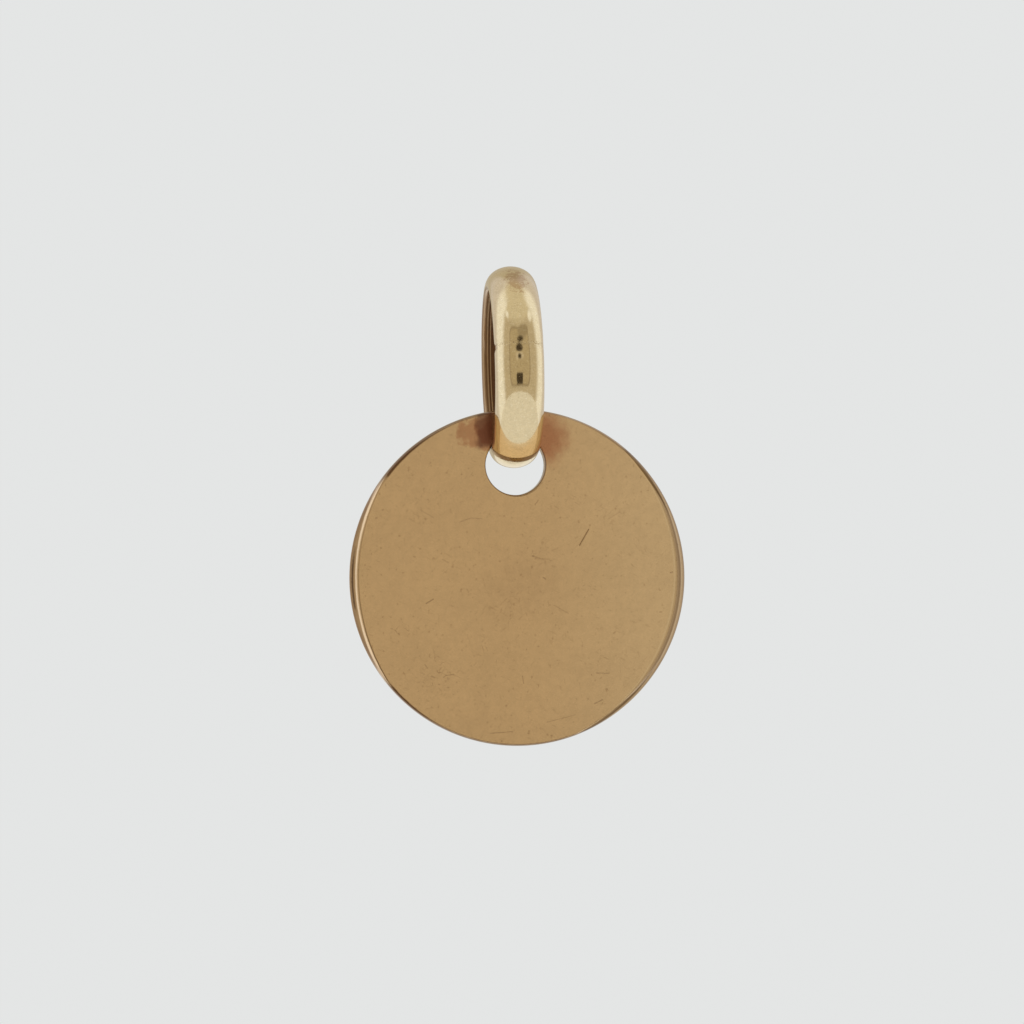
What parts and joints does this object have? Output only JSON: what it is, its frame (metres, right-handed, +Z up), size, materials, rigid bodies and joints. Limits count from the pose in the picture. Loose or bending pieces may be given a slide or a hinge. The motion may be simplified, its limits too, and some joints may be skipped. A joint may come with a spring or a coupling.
{
  "type": "disc pendant",
  "caption": "Plain round flat pendant with a rounded rim, hanging by a hole near its edge on a wide half-round bail ring that a chain runs through.",
  "frame": {"origin": "inside of the bail ring at its top, in the middle of its band, where the chain bears", "axes": "+Z up along the hanging pendant, +X across the disc's face and along the chain, -Y towards the viewer of the disc's front"},
  "size_m": [0.018, 0.0108, 0.0256],
  "materials": {
    "disc_gold": "polished, with fine scratches",
    "ring_gold": "polished, lightly worn"
  },
  "bodies": {
    "ring": {"bail_ring": "ring_gold"},
    "pendant": {"disc": "disc_gold"}
  },
  "joints": [
    {"name": "disc_swing", "type": "hinge", "parent": "ring", "child": "pendant", "pos_m": [0, 0, -0.00417], "axis": [1, 0, 0], "range_deg": [-135, 135]}
  ]
}
